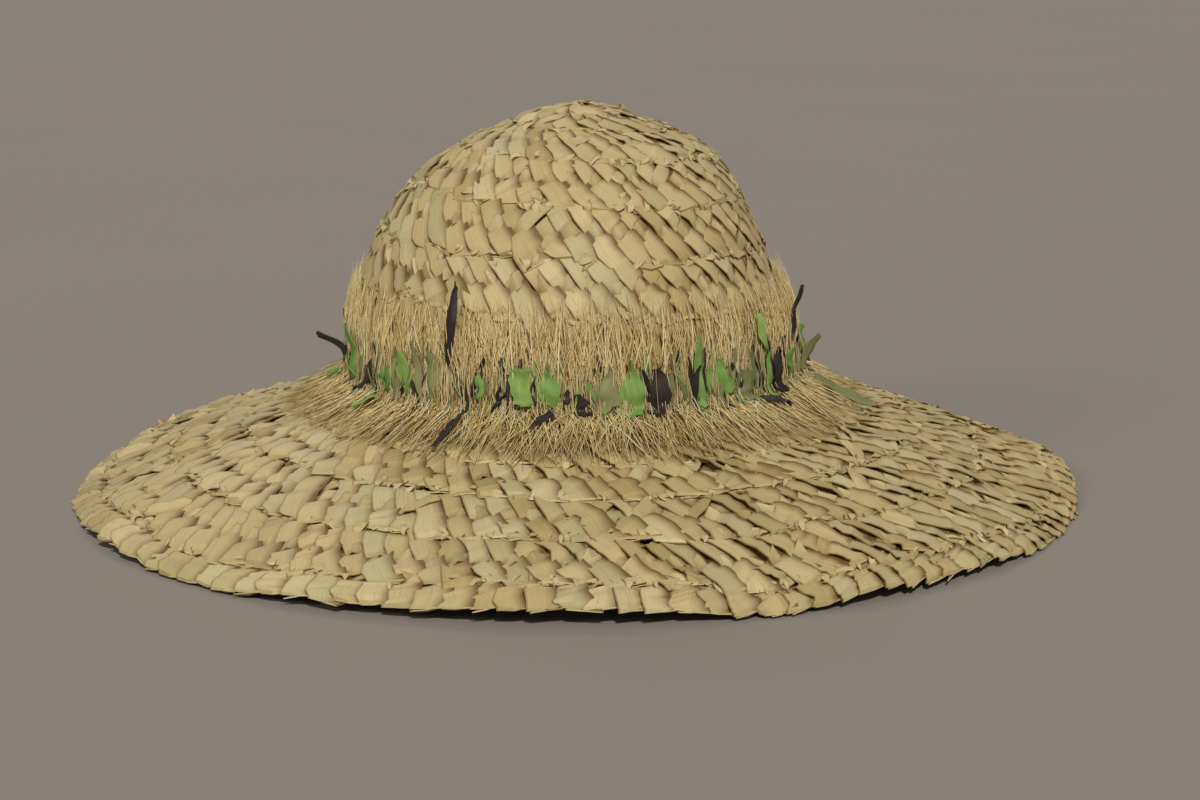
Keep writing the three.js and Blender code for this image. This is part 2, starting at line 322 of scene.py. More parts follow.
def linkTo(wire, shader, **sockets):
    for name, value in sockets.items():
        wire.tree.links.new(value.socket, shader.inputs[name.replace("_", " ")])


grainShift = (37.0, 91.0, 13.0)  # how far the grain moves on from the palest blade to the darkest


def bladeValue(wire, name):
    # what each blade carries: its tone, or the painted shade at its points
    return wire.node("ShaderNodeAttribute", {"attribute_name": name}, output="Fac")


def leafGrain(wire, scales, detail=3.0):
    # fine grain that runs along a blade's own length, shifted from blade to blade
    uv = wire.node("ShaderNodeUVMap", {"uv_map": "UVMap"})
    tone = bladeValue(wire, "tone")
    shift = wire.node("ShaderNodeCombineXYZ", inputs={i: tone * far for i, far in enumerate(grainShift)})
    stretched = wire.node("ShaderNodeMapping", inputs={"Vector": uv, "Scale": (*scales, 1)})
    place = wire.node("ShaderNodeVectorMath", {"operation": "ADD"}, {0: stretched, 1: shift})
    return place.noise(1.0, detail), tone


def grainBump(wire, grain, look):
    strength, height = look["bump"]
    return wire.node("ShaderNodeBump", inputs={"Strength": strength, "Distance": height * mm, "Height": grain})


def grainRoughness(grain, look):
    least, more = look["roughness"]
    return grain * more + least


strawLook = {
    # colours of single strips, from the palest to the brownest
    "tints": [(0.0, (0.77, 0.65, 0.375, 1)), (0.3, (0.65, 0.53, 0.27, 1)), (0.55, (0.61, 0.50, 0.25, 1)),
              (0.8, (0.54, 0.43, 0.195, 1)), (1.0, (0.44, 0.325, 0.14, 1))],
    "fresh": (0.60, 0.60, 0.36, 1),  # some strips have kept a little green
    "streak": (0.36, 0.26, 0.12, 1),
    # colour of the painted shadow lines along both edges of each strip
    "edge": (0.24, 0.145, 0.04, 1),
    # colour of the painted shade where strips lie deep and at their covered edges
    "fold": (0.21, 0.132, 0.045, 1),
    "freshShare": 0.55,
    "streakShare": 0.5,
    "streakFrom": (0.5, 0.85),  # grain over which the streaks come in
    "edgeShare": 0.85,
    "edgeShadowWidth": 0.07,  # of the strip's width, for the painted shadow line
    "paintedShadeFade": 1.7,  # the higher, the more the painted shade keeps to the deepest places
    "grain": (2.0, 26.0),  # scales along and across a strip
    "blotch": (3.0, 2.0),
    "blotchShare": 0.35,
    "roughness": (0.4, 0.25),  # the least, and what the grain adds
    "bump": (0.35, 0.6),  # strength, and height in mm
    "specular": 0.35,
}


def strawMaterial():
    material, wire, shader = newMaterial("plaitedPalmLeaf")
    grain, tone = leafGrain(wire, strawLook["grain"])
    blotch, _ = leafGrain(wire, strawLook["blotch"], 2.0)
    place = tone + (blotch - 0.5) * strawLook["blotchShare"]
    tint = wire.node("ShaderNodeValToRGB", {"stops": strawLook["tints"]}, {0: place})
    streak = grain.ranged(*strawLook["streakFrom"], 0.0, strawLook["streakShare"])
    fresh = wire.node("ShaderNodeMath", {"operation": "FRACT"}, {0: tone * 53.0})
    fresh = (fresh ** 2 * strawLook["freshShare"]).mixed(tint, strawLook["fresh"])
    body = streak.mixed(fresh, strawLook["streak"])
    uv = wire.node("ShaderNodeUVMap", {"uv_map": "UVMap"})
    side = wire.node("ShaderNodeSeparateXYZ", inputs={0: uv}, output=1)
    # painted shadow lines along both edges of each strip, where the gaps between strips lie
    inwards = wire.math("PINGPONG", side, 0.5)
    edge = inwards.ranged(0.0, strawLook["edgeShadowWidth"], strawLook["edgeShare"], 0.0)
    # painted shade: the blades' depth values mix in the fold colour
    depth = bladeValue(wire, "depth") ** strawLook["paintedShadeFade"]
    colour = depth.mixed(edge.mixed(body, strawLook["edge"]), strawLook["fold"])
    linkTo(wire, shader, Base_Color=colour, Roughness=grainRoughness(grain, strawLook),
           Normal=grainBump(wire, grain, strawLook))
    shader.inputs["Specular IOR Level"].default_value = strawLook["specular"]
    return material


# the braid: one long plait, sewn round from the tip to the rim
braid = {
    "width": 28.2,  # mm
    "strands": 4,
    "spacing": 11.0,  # between neighbouring strips along the plait
    "stretches": 14,  # a strip is this many faces long
    "crownAdvance": 22.0,  # how far a falling strip runs on while it crosses the plait, on the crown,
    "brimAdvance": 18.0,  # on the brim
    "rimAdvance": 2.0,  # and in the rim's row
    "brimFrom": (170, 210),  # distances from the tip over which the crown's way turns into the brim's
    "footArc": 180,  # the crown's piece ends and the brim's begins at this distance
    "fallWidth": 12.6,  # widths of the strips along the plait
    "riseWidth": 10.6,
    "wider": {"fallOver": 1.14, "riseOver": 0.9, "under": 1.06},
    "widthLimits": (0.7, 1.25),
    "lift": 0.95,  # height of a strip over or under the plait's middle
    "foldLift": 0.5,  # share of it at the folds
    "tilt": 0.45,  # how far a falling strip's leading edge stands up, on the crown and the brim,
    "rimTilt": 0.6,  # and in the rim's row
    "riseTilt": 0.3,  # share of the tilt that a rising strip has
    "underTilt": 0.1,
    "camber": 0.25,  # of the strips that lie over
    "squareEnd": 0.9,  # crossings over which a strip's folds turn square to the plait's edge
    "bend": (0.34, 0.32),  # start and length of the bend between two crossings, each a share of the way
    "late": 0.24,  # how much longer a falling strip stays over than a rising one
    "sunk": 0.8,  # the plait's middle lies this far inside the hat's face
    "overlap": 0.6,  # each row's lower edge stands this far over the next row's upper edge
    "rimDroop": 1.3,  # the rim's row bends down by this much at its edge
    "edgeRoll": 0.5,  # a strip rolls this far round the plait's edges
    "tuckTurn": 11.5,  # from here on the end of the plait is tucked under: depth and shift in mm
    "tuckDepth": 1.8,
    "tuckShift": 8,
    "wall": 0.4,
    # distance from the tip at which the plait's middle passes the front, turn by turn
    "frontRows": [21, 45.5, 70, 94, 118.5, 143, 167.5, 191.5, 216, 247, 278, 299.2],
    # share of its width that the plait has: wider on the brim, and folded under in the rim's row
    "sizeTurns": [6.5, 9, 10.35, 10.65],
    "sizes": [1, 1.15, 1.15, 0.66],
    "steppedFrom": 5,  # the five rows from here come to step over behind the hat
    "startArc": 4.0,
    "firstTurn": -1.2,
    "lastTurn": 11.62,
    "rimTurn": 10.5,
    "tipRoom": 1.0,  # the plait's inner edge keeps this far from the tip
    "fullAt": 9.0,  # the plait lies at its full length this far outside its middle
    # chances that a falling strip lies over at each crossing, for even and odd strips
    "overEven": [0.4, 0.92, 0.25, 0.92, 0.5],
    "overOdd": [0.4, 0.85, 0.35, 0.85, 0.5],
    "floatBroken": 0.9,  # chance that a strip over three others dips under the middle one
    "tones": (2, 2.4),  # of single strips: the two powers of a beta spread
}

# how much painted shade, in the fold colour, a strip takes on where it lies deep and towards its trailing edge
braidShade = {
    "flat": 0.4,  # in the plait's middle plane
    "clearAt": 1.7,  # the height in mm is divided by this and taken off
    "deepest": 0.9,
    "fallEdge": 2.2,  # towards the trailing edge of a falling strip
    "riseEdge": 0.5,
    "most": 1.4,
}

# where the strips of the brim have curled up: azimuth and half width in degrees, arc and half arc in mm
curledSpot = {
    "azimuth": -62,
    "halfWidth": 60,
    "arc": 262,
    "halfArc": 90,
    "tilt": 0.3,  # added to the strips' tilt
    "spread": 0.8,  # times the usual unevenness of the tilt, added
    "camber": 2,  # times that of the camber, added
}

# the strips lie calmer round the tip and on the hat's left side, as its wearer sees it
calmPart = {
    "azimuth": 0,
    "halfWidth": 85,
    "tipArc": 60,  # calm to half of this distance from the tip, fading to one and a half
    "tipFade": 1.5,
    "share": 0.5,  # of their lift and tilt that is gone
}

# how unevenly the strips lie, each a spread in mm unless a share
unevenness = {
    "fold": 0.9,  # of the folds, along the plait
    "reach": 1.3,  # of the folds, across it
    "rimReach": 0.4,  # share of that in the rim's row
    "slide": 0.8,  # of a strip at each crossing, along the plait
    "lift": 0.15,  # share
    "width": 0.08,  # share, from crossing to crossing
    "stripWidth": 0.05,  # share, from strip to strip
    "tilt": 0.6,
    "underTilt": 0.3,  # share of that where a strip lies under
    "tiltKept": 0.8,  # share of its tilt that a strip keeps while it stays over or under
    "camber": 0.2,
    "pitch": 0.3,  # of the height, from one stretch of a strip to the next
    "crumple": 0.08,  # of single points in height
    "sideCrumple": 1.5,  # and across the plait, as a share of that
    "slope": (1.1, 1.3),  # of the folded ends: mean and spread
    "arch": (-0.3, 0.5),  # of the lower ends: mean and spread
    "rimArch": -0.9,
}


def spiralArc(turn):
    rows = np.array(braid["frontRows"] + [braid["frontRows"][-1]]) * mm
    rows = np.concatenate([[rows[0] - (rows[1] - rows[0])], rows])
    place = np.clip(turn + 1, 0, len(rows) - 1.001)
    row = np.floor(place).astype(int)
    share = place - row
    start, length = braid["bend"]
    step = np.clip((share - start) / length, 0, 1)
    step = step ** 2 * (3 - 2 * step)
    share = share + (step - share) * np.clip((row - braid["steppedFrom"]) / 5, 0, 1)
    return np.maximum(rows[row] + (rows[row + 1] - rows[row]) * share, braid["startArc"] * mm)


spiralTurn = np.linspace(braid["firstTurn"], braid["lastTurn"], 12000)
spiralMiddle = spiralArc(spiralTurn)
spiralRadius = radiusAt(spiralMiddle + braid["fullAt"] * mm)
spiralRound = np.diff(spiralTurn) * math.pi * (spiralRadius[1:] + spiralRadius[:-1])
spiralLength = np.concatenate([[0], np.cumsum(np.hypot(spiralRound, np.diff(spiralMiddle)))])


def onHat(along):
    # the turn of the spiral and the distance from the tip at metres along the plait
    return np.interp(along, spiralLength, spiralTurn), np.interp(along, spiralLength, spiralMiddle)


def braidPoint(along, across, standOff):
    # points of the plait: metres along it, metres from its middle towards the rim, and over the face
    turn, arc = onHat(along)
    half = braid["width"] * mm / 2
    squeeze = np.clip((arc - braid["tipRoom"] * mm) / half, 0, 1)
    across = np.where(across < 0, across * squeeze, across)
    size = np.interp(turn, braid["sizeTurns"], braid["sizes"])
    lean = braid["overlap"] * across / half - braid["sunk"]
    lean = lean - braid["rimDroop"] * (turn > braid["rimTurn"]) * np.maximum(across / half + 0.1, 0) ** 2
    tuck = np.clip((turn - braid["tuckTurn"]) / (braid["lastTurn"] - braid["tuckTurn"]), 0, 1)
    arc = arc + across * size - tuck * braid["tuckShift"] * mm
    standOff = standOff + (lean - tuck * braid["tuckDepth"]) * mm
    return facePoint(arc, turn * 2 * math.pi - math.pi / 2, standOff)


def makeBraid(straw):
    strands, stretches = braid["strands"], braid["stretches"]
    spacing, width = braid["spacing"] * mm, braid["width"] * mm
    bendStart, bendLength = braid["bend"]
    count = int((spiralLength[-1] - braid["brimAdvance"] * mm) // spacing)
    index = np.arange(count + strands)
    turn, arc = onHat(index * spacing)
    onRim = turn > braid["rimTurn"]
    onBrim = np.interp(arc / mm, braid["brimFrom"], (0, 1))
    fall = braid["crownAdvance"] + (braid["brimAdvance"] - braid["crownAdvance"]) * onBrim
    fall = np.where(onRim, braid["rimAdvance"], fall) * mm
    blade, share, side = gridBlade("stripPattern", stretches, 2)
    curlLength = 1 / stretches  # the ends of the blade curl round the plait's edges
    inner = np.clip((share - curlLength) / (1 - 2 * curlLength), 0, 1)
    curl = np.abs(share - np.clip(share, curlLength, 1 - curlLength)) / curlLength
    outEnd = np.sign(share - 0.5) * curl
    place = inner * strands
    crossing = np.clip(np.floor(place + 1e-6).astype(int), 0, strands - 1)
    step = place - crossing

    def slanted(falling):
        # a strip's points along it, set off sideways so that its folds follow the strips that cross it
        width = braid["fallWidth"] if falling else -braid["riseWidth"]
        room = np.clip(np.minimum(place, strands - place) / braid["squareEnd"], 0, 1)
        return (place - side * width / braid["spacing"] * room) / strands

    def between(keys, steps):
        return keys[:, crossing] * (1 - steps) + keys[:, crossing + 1] * steps

    def creases(over, falling):
        # strips lie flat at a crossing and bend between two, and the falling ones stay over for longer
        change = over[:, crossing + 1].astype(float) - over[:, crossing]
        late = np.sign(change) * (-1 if falling else 1)
        return np.clip((step - bendStart - braid["late"] * late) / bendLength, 0, 1)

    chance = np.where((index % 2 == 0)[:, None], braid["overEven"], braid["overOdd"])
    onTop = rng.random(chance.shape) < chance
    for k in range(strands - 1):  # a rising strip goes over one strip at a time
        onTop[:-1, k + 1] |= ~onTop[1:, k] & (k > 0)
    longFloat = onTop[:, 1] & onTop[:, 2] & onTop[:, 3] & (rng.random(len(index)) < braid["floatBroken"])
    onTop[longFloat, 2] = False
    onTop[onRim, 1] = False
    onTop[onRim, 2:] = True
    upperFold, lowerFold = rng.normal(0, unevenness["fold"] * mm, (2, len(index)))
    upperReach, lowerReach = rng.normal(0, unevenness["reach"] * mm, (2, len(index)))
    lowerReach[onRim] *= unevenness["rimReach"]

    def strips(falling):
        n = np.arange(count) if falling else np.arange(strands, count + strands)
        foldOf = n if falling else n - strands  # the strip's number at its lower fold
        way = "fall" if falling else "rise"
        stripWidth, wider = braid[way + "Width"] * mm, braid["wider"][way + "Over"]
        if falling:
            over, run = onTop[n], fall[n]
        else:
            over = ~np.stack([onTop[n - k, k] for k in range(strands + 1)], axis=1)
            run = fall[foldOf] - strands * spacing
        middle = n * spacing + run / 2
        turn, arc = onHat(middle)

        def uneven(name, middle=0.0, size=(len(n), strands + 1)):
            return rng.normal(middle, unevenness[name], size)

        # where the strips have curled up, and where they lie calm
        curled = bump(turnedBy(turn * 360 - 90, curledSpot["azimuth"]), curledSpot["halfWidth"])
        curled = (curled * bump(arc / mm - curledSpot["arc"], curledSpot["halfArc"]))[:, None]
        calm = bump(turnedBy(turn * 360 - 90, calmPart["azimuth"]), calmPart["halfWidth"])
        calm = np.maximum(calm, np.clip(calmPart["tipFade"] - arc / (calmPart["tipArc"] * mm), 0, 1))
        calm = 1 - calmPart["share"] * calm[:, None]

        # each strip's height, shift, width, tilt and camber at its folds and crossings
        heights = np.where(over, 1.0, -1.0) * (1 + uneven("lift")) * braid["lift"]
        heights[:, [0, -1]] *= braid["foldLift"]
        heights = heights * calm
        slides = uneven("slide") * mm
        slides[:, 0] = upperFold[n]
        slides[:, -1] = lowerFold[foldOf]
        widths = np.where(over, wider, braid["wider"]["under"]) * (1 + uneven("width"))
        widths = np.clip(widths * uneven("stripWidth", 1, (len(n), 1)), *braid["widthLimits"]) * stripWidth
        leading = np.where(onRim[n][:, None], braid["rimTilt"], braid["tilt"]) + curledSpot["tilt"] * curled
        spread = uneven("tilt") * (1 + curledSpot["spread"] * curled)
        overTilt = leading * (1 if falling else braid["riseTilt"]) + spread
        tilts = np.where(over, overTilt, braid["underTilt"] + unevenness["underTilt"] * spread) * calm
        kept = unevenness["tiltKept"]
        for k in range(1, strands + 1):  # a float over two crossings keeps its tilt
            same = over[:, k] == over[:, k - 1]
            tilts[same, k] = kept * tilts[same, k - 1] + (1 - kept) * tilts[same, k]
        cambers = np.where(over, braid["camber"], 0.0) + uneven("camber") * (1 + curledSpot["camber"] * curled)

        # heights over the plait's middle, point by point
        crease = creases(over, falling)
        height = between(heights, crease) - 2 * side * between(tilts, crease)
        height = height + (1 - 4 * side ** 2) * between(cambers, crease)
        rows, rowOf = np.unique(share, return_inverse=True)
        height = height + uneven("pitch", 0, (len(n), len(rows)))[:, rowOf]
        height = (height + uneven("crumple", 0, height.shape)) * mm * (1 - curl ** 2)

        # places along and across the plait
        inner = slanted(falling)
        along = n[:, None] * spacing + inner * run[:, None]
        along = along + side * between(widths, step) + between(slides, step)
        slopes = rng.normal(*unevenness["slope"], (len(n), 2)) * mm
        arch = np.where(onRim[n], unevenness["rimArch"], rng.normal(*unevenness["arch"], len(n)))
        arch = arch[:, None] * mm * (1 - 4 * side ** 2)
        nearTop, nearFoot = np.clip(1 - 4 * inner, 0, 1), np.clip(4 * inner - 3, 0, 1)
        across = (inner - 0.5) * width + outEnd * braid["edgeRoll"] * mm
        across = across + (upperReach[n][:, None] - side * 2 * slopes[:, :1]) * nearTop
        across = across + (lowerReach[foldOf][:, None] - side * 2 * slopes[:, 1:] - arch) * nearFoot
        across = across + rng.normal(0, unevenness["crumple"] * unevenness["sideCrumple"], along.shape) * mm
        # painted shade: a strip is darker where it lies deep under others and towards its trailing edge, which
        # its neighbour overlaps
        dark = np.clip(braidShade["flat"] - height / (braidShade["clearAt"] * mm), 0, braidShade["deepest"])
        dark = (dark + braidShade[way + "Edge"] * np.maximum(side, 0)) * (1 - curl)
        return turn, arc, braidPoint(along, across, height), np.minimum(dark, braidShade["most"])

    pieces = {"crownBraid": [], "brimBraid": [], "rimBraid": []}
    for falling in (True, False):
        turn, arc, places, dark = strips(falling)
        tone = rng.beta(*braid["tones"], len(turn))
        onCrown, onRimRow = arc < braid["footArc"] * mm, turn >= braid["rimTurn"]
        for part, mask in zip(pieces.values(), (onCrown, ~onCrown & ~onRimRow, onRimRow)):
            part.append((places[mask], tone[mask], dark[mask]))
    for (name, parts), node in zip(pieces.items(), ("crown", "brim", "rim_braid")):
        piece = copiesOf(blade, name, *(np.concatenate(values) for values in zip(*parts)))
        giveWall(piece, braid["wall"], 20)
        finishPiece(piece, straw, "straw", node)
        print(name, len(piece.data.polygons), "faces")
    bpy.data.objects.remove(blade)


# crumpled slivers of leaf that stick out of the seams
sliver = {
    "perFold": 3,  # tries at each fold of a strip
    "chance": 0.4,  # that a try gives a sliver
    "firstFold": 4,
    "length": (3.0, 8.5),  # mm
    "width": (1.5, 3.4),
    "lift": (0.3, 1.3),
    "base": 0.2,  # height of the ends
    "turn": 0.8,  # spread of the heading along the seam, in radians
    "bend": 0.9,
    "twist": 0.8,
    "pointed": 0.7,  # share of the width that the ends have lost
    "offSeam": (-0.5, 1.6),  # mean and spread across the seam, mm
    "tones": (0, 0.35),
    "wall": 0.3,
}


def makeSlivers(straw):
    blade, share, side = gridBlade("sliverPattern", 4, 1)
    spacing = braid["spacing"] * mm
    rimStart = np.interp(braid["rimTurn"], spiralTurn, spiralLength)
    folds = np.repeat(np.arange(sliver["firstFold"], int(rimStart // spacing)), sliver["perFold"])
    folds = folds[rng.random(len(folds)) < sliver["chance"]]
    count = len(folds)

    def anyOf(name):
        return rng.uniform(*sliver[name], (count, 1)) * mm

    def spread(size, middle=0.0):
        return rng.normal(middle, size, (count, 1))

    length, width, lift = anyOf("length"), anyOf("width"), anyOf("lift")
    angle, bend = spread(sliver["turn"]), spread(sliver["bend"])
    heading = angle + bend * (share - 0.5)
    sideways = side * width * (1 - sliver["pointed"] * np.abs(2 * share - 1) ** 3)
    down = (share - 0.5) * length * np.cos(heading) - sideways * np.sin(heading)
    middle, offSeam = sliver["offSeam"]
    across = braid["width"] * mm / 2 + spread(offSeam, middle) * mm + down
    along = folds[:, None] * spacing + rng.uniform(-0.5, 0.5, (count, 1)) * spacing
    along = along + (share - 0.5) * length * np.sin(heading) + sideways * np.cos(heading)
    height = sliver["base"] * mm + lift * (1 - (2 * share - 1) ** 2)
    height = height + side * width * spread(sliver["twist"]) * (2 * share - 1)
    places = braidPoint(along, across, height)
    tone = rng.uniform(*sliver["tones"], count)
    piece = copiesOf(blade, "seamSlivers", places, tone, np.zeros(places.shape[:2]))
    giveWall(piece, sliver["wall"])
    finishPiece(piece, straw, "straw")
    bpy.data.objects.remove(blade)
    print("seamSlivers", count)


# the fringe: loose fibres tied round the foot of the crown
fringe = {
    "strands": 4300,  # in each of the two thick layers
    "strays": 1500,  # thin pale strands that lie across them
    "width": (0.25, 0.85),  # mm
    "thickness": 0.3,
    "base": 0.6,  # the lowest strands stand this far over the straw
    "clumps": 170,
    "clumpSpread": 0.011,  # of the strands in a clump, in radians
    "loose": 0.35,  # share of the strands that lie between the clumps
    "flyaways": 0.16,  # share of the outer strands that lie over the leaf strips
    "flyHeight": (1.0, 2.8),
    "ties": (60, 45.5),  # heights of the two twines
    "topPast": 2,  # mm added past the upper tips
    "leanLength": 35,  # mm past a tie over which the lean grows to its full size
    "clumpLean": 4,  # spread of whole clumps' lean in mm
    "waves": (5, 16),
    "waveSize": 0.7,
    "turn": 0.8,  # how far a flat strand is turned, in radians,
    "twist": 0.9,  # and twists on its way
    "beltPaintedShade": 0.3,  # painted shade: the fibres are darker between the ties
    "beltHalf": 10,
    "footDark": 0.25,  # the fibres also turn darker towards the hem
    "deepPaintedShade": (0.7, 1.3, 0.6),  # painted shade of strands lying deep: its share at the straw, what the depth takes off, and the most
    "darkest": 0.75,
    "tones": (1.5, 2.2),  # of single strands: the two powers of a beta spread
    "strayTone": 2,  # added to the second for the strays
    "clumpTone": 0.12,
    # depth of the fibres over the straw, from the upper tips down to the hem
    "depthHeight": [93, 80, 68, 60, 53, 45.5, 42, 38.5, 33, 28.5],
    "depth": [1.6, 4.2, 5.2, 3.6, 5.2, 4.0, 5.6, 6.6, 5.6, 2.0],
}

# the strands' upper tips
upperTips = {
    "reach": (70, 95),  # heights over the rim's mean line
    "power": 2,  # the higher, the more tips lie near the ties
    "clump": 2.5,  # spread of whole clumps in mm
    "none": 0.22,  # share of the strands that end at the tie instead, this far past it
    "past": 4,
    "lean": (4.2, 5),  # spread in mm, and what strays have more
    "flare": 1.6,  # mm outwards
}

# the same of the lower tips, but their reach is in mm from the hat's tip along the face
lowerTips = {
    "reach": (182, 212), "power": 1.6, "clump": 3, "none": 0.12, "past": 6, "lean": (6.5, 3), "flare": 1.2,
}

fringeLook = {
    "tints": [(0.0, (1.0, 0.91, 0.60, 1)), (0.3, (0.92, 0.76, 0.37, 1)), (0.65, (0.66, 0.48, 0.165, 1)),
              (1.0, (0.36, 0.225, 0.065, 1))],
    # colour of the painted shade that the strands' depth values mix in
    "paintedShade": (0.13, 0.08, 0.03, 1),
    "grain": (6.0, 2.0),
    "grainShare": 0.5,
    "roughness": (0.21, 0.3),
    "bump": (0.2, 0.3),
}


def arcAtHeight(height):
    return np.interp(-np.asarray(height, float) * mm, -faceLine[:, 1], faceArc)


def fringeDepth(arc):
    return np.interp(arc, arcAtHeight(fringe["depthHeight"]), np.array(fringe["depth"]) * mm)


def fibreMaterial():
    material, wire, shader = newMaterial("dryFibre")
    grain, tone = leafGrain(wire, fringeLook["grain"])
    place = tone + (grain - 0.5) * fringeLook["grainShare"]
    tint = wire.node("ShaderNodeValToRGB", {"stops": fringeLook["tints"]}, {0: place})
    # the strands' depth values mix in the painted shade colour
    linkTo(wire, shader, Base_Color=bladeValue(wire, "depth").mixed(tint, fringeLook["paintedShade"]),
           Roughness=grainRoughness(grain, fringeLook), Normal=grainBump(wire, grain, fringeLook))
    return material


def makeFringe(name, layers, fibre, *nodes, stray=0):
    # layers: lowest and highest place of the strands in the fringe's depth; stray: how much they sprawl
    strand, share, side, over = roundStrand("strandPattern", 3, 7)
    count = fringe["strays"] if stray else fringe["strands"]
    clumps = fringe["clumps"]
    clump = rng.integers(0, clumps, count)

    def each(low, high):
        return rng.uniform(low, high, (count, 1))

    def spread(size):
        return rng.normal(0, size, (count, 1))

    def perClump(size):
        return rng.normal(0, size, clumps)[clump][:, None]

    clumpPlace = (np.arange(clumps) + rng.uniform(-0.3, 0.3, clumps)) * 2 * math.pi / clumps
    azimuth = clumpPlace[clump][:, None] + spread(fringe["clumpSpread"])
    azimuth = np.where(each(0, 1) < fringe["loose"], each(0, 2 * math.pi), azimuth)

    def tips(end):
        near, far = end["reach"]
        return near + (far - near) * each(0, 1) ** end["power"] + perClump(end["clump"])

    def leaning(part, end):
        size, more = end["lean"]
        return part * (perClump(fringe["clumpLean"]) + spread(size + more * stray))

    # each strand runs from its upper tip through both ties down to its lower tip
    upperTie, lowerTie = arcAtHeight(fringe["ties"])
    topArc = arcAtHeight(tips(upperTips)) + fringe["topPast"] * mm
    hemArc = tips(lowerTips) * mm
    short = each(0, 1)
    topArc = np.where(short < upperTips["none"], upperTie - upperTips["past"] * mm, topArc)
    hemArc = np.where(short > 1 - lowerTips["none"], lowerTie + lowerTips["past"] * mm, hemArc)
    arc = topArc + share * (hemArc - topArc)
    rise = np.clip((upperTie - arc) / (fringe["leanLength"] * mm), 0, 1.2)
    foot = np.clip((arc - lowerTie) / (fringe["leanLength"] * mm), 0, 1.2)
    lean = leaning(rise, upperTips) + leaning(foot, lowerTips)
    wave = np.sin(share * each(*fringe["waves"]) + each(0, 6.3)) * spread(fringe["waveSize"])
    radius, depth = radiusAt(arc), fringeDepth(arc)
    flare = rise ** 2 * np.abs(spread(upperTips["flare"])) + foot ** 2 * np.abs(spread(lowerTips["flare"]))
    fly = (each(0, 1) < fringe["flyaways"] * (layers[1] == 1)) * each(*fringe["flyHeight"])
    standOff = fringe["base"] * mm + depth * each(*layers) + (flare + fly) * mm
    thin = np.clip(np.minimum(share / 0.3, (1 - share) / 0.2), 0.12, 1) ** 0.8  # towards both tips
    turn = each(-fringe["turn"], fringe["turn"]) + spread(fringe["twist"]) * share
    width = each(*fringe["width"]) * mm * thin
    thick = fringe["thickness"] * mm * thin
    sideways = side * width * np.cos(turn) - over * thick * np.sin(turn)
    outward = side * width * np.sin(turn) + over * thick * np.cos(turn)
    place = azimuth + ((lean + wave) * mm + sideways) / radius
    places = facePoint(arc, place, standOff + outward)
    # painted shade: strands lying deep near the straw are darker, less so towards the upper tips, and the belt
    # between the ties is darker; the fibres also turn darker towards the hem
    atStraw, cleared, most = fringe["deepPaintedShade"]
    dark = atStraw - cleared * (standOff - fringe["base"] * mm) / np.maximum(depth, mm)
    dark = np.clip(dark, 0, most) * np.clip(1 - 0.8 * rise, 0, 1)
    belt = np.exp(-((arc - (upperTie + lowerTie) / 2) / (fringe["beltHalf"] * mm)) ** 2)
    dark = np.clip(dark + fringe["footDark"] * foot ** 2 + fringe["beltPaintedShade"] * belt, 0, fringe["darkest"])
    first, second = fringe["tones"]
    tone = rng.beta(first, second + fringe["strayTone"] * stray, count)
    tone = np.clip(tone + perClump(fringe["clumpTone"])[:, 0], 0, 1)
    piece = copiesOf(strand, name, places, tone, dark)
    finishPiece(piece, fibre, "fibre", *nodes)
    bpy.data.objects.remove(strand)
    print(name, count, "strands,", len(piece.data.polygons), "faces")


# the two twines tied round the fringe
twine = {
    "plies": 2,
    "plyRadius": 0.24,  # mm
    "coilRadius": 0.2,
    "coils": 170,
    "steps": 1360,
    "over": 0.9,  # stands this far over the fibres
    "wander": [(7, 0, 0.5), (17, 1, 0.35)],  # waves round the hat: how many, phase and size in mm
    "tones": [0.3, 0.6],
    "colour": (0.66, 0.58, 0.42, 1),
    "shade": (0.36, 0.28, 0.16, 1),
    "grainScale": 900.0,
    "roughness": (0.5, 0.3),
}


def twineMaterial():
    material, wire, shader = newMaterial("palmTwine")
    grain = wire.node("ShaderNodeTexCoord", output="Object").noise(twine["grainScale"], 3.0)
    colour = grain.mixed(twine["colour"], twine["shade"])
    linkTo(wire, shader, Base_Color=colour, Roughness=grainRoughness(grain, twine))
    return material


def makeTwine(name, height, node, material):
    cord, share, side, over = roundStrand(name, 6, twine["steps"])
    middle = arcAtHeight(height)
    wander = sum(size * np.sin(share * 2 * math.pi * waves + phase) for waves, phase, size in twine["wander"])
    places = []
    for ply in range(twine["plies"]):
        coil = share * 2 * math.pi * twine["coils"] + ply * math.pi
        shift = wander + twine["coilRadius"] * np.sin(coil) + side * 2 * twine["plyRadius"]
        stand = twine["over"] + twine["coilRadius"] * np.cos(coil) + over * 2 * twine["plyRadius"]
        places.append(facePoint(middle + shift * mm, share * 2 * math.pi, fringeDepth(middle) + stand * mm))
    piece = copiesOf(cord, name, np.array(places), np.array(twine["tones"]))
    bpy.data.objects.remove(cord)
    makeActive(piece)
    bpy.ops.object.mode_set(mode="EDIT")
    bpy.ops.mesh.select_all(action="SELECT")
    bpy.ops.mesh.remove_doubles(threshold=0.00002)
    bpy.ops.mesh.normals_make_consistent(inside=False)
    bpy.ops.object.mode_set(mode="OBJECT")
    bpy.ops.object.shade_smooth_by_angle(angle=math.radians(60))
    finishPiece(piece, material, "thread", node)


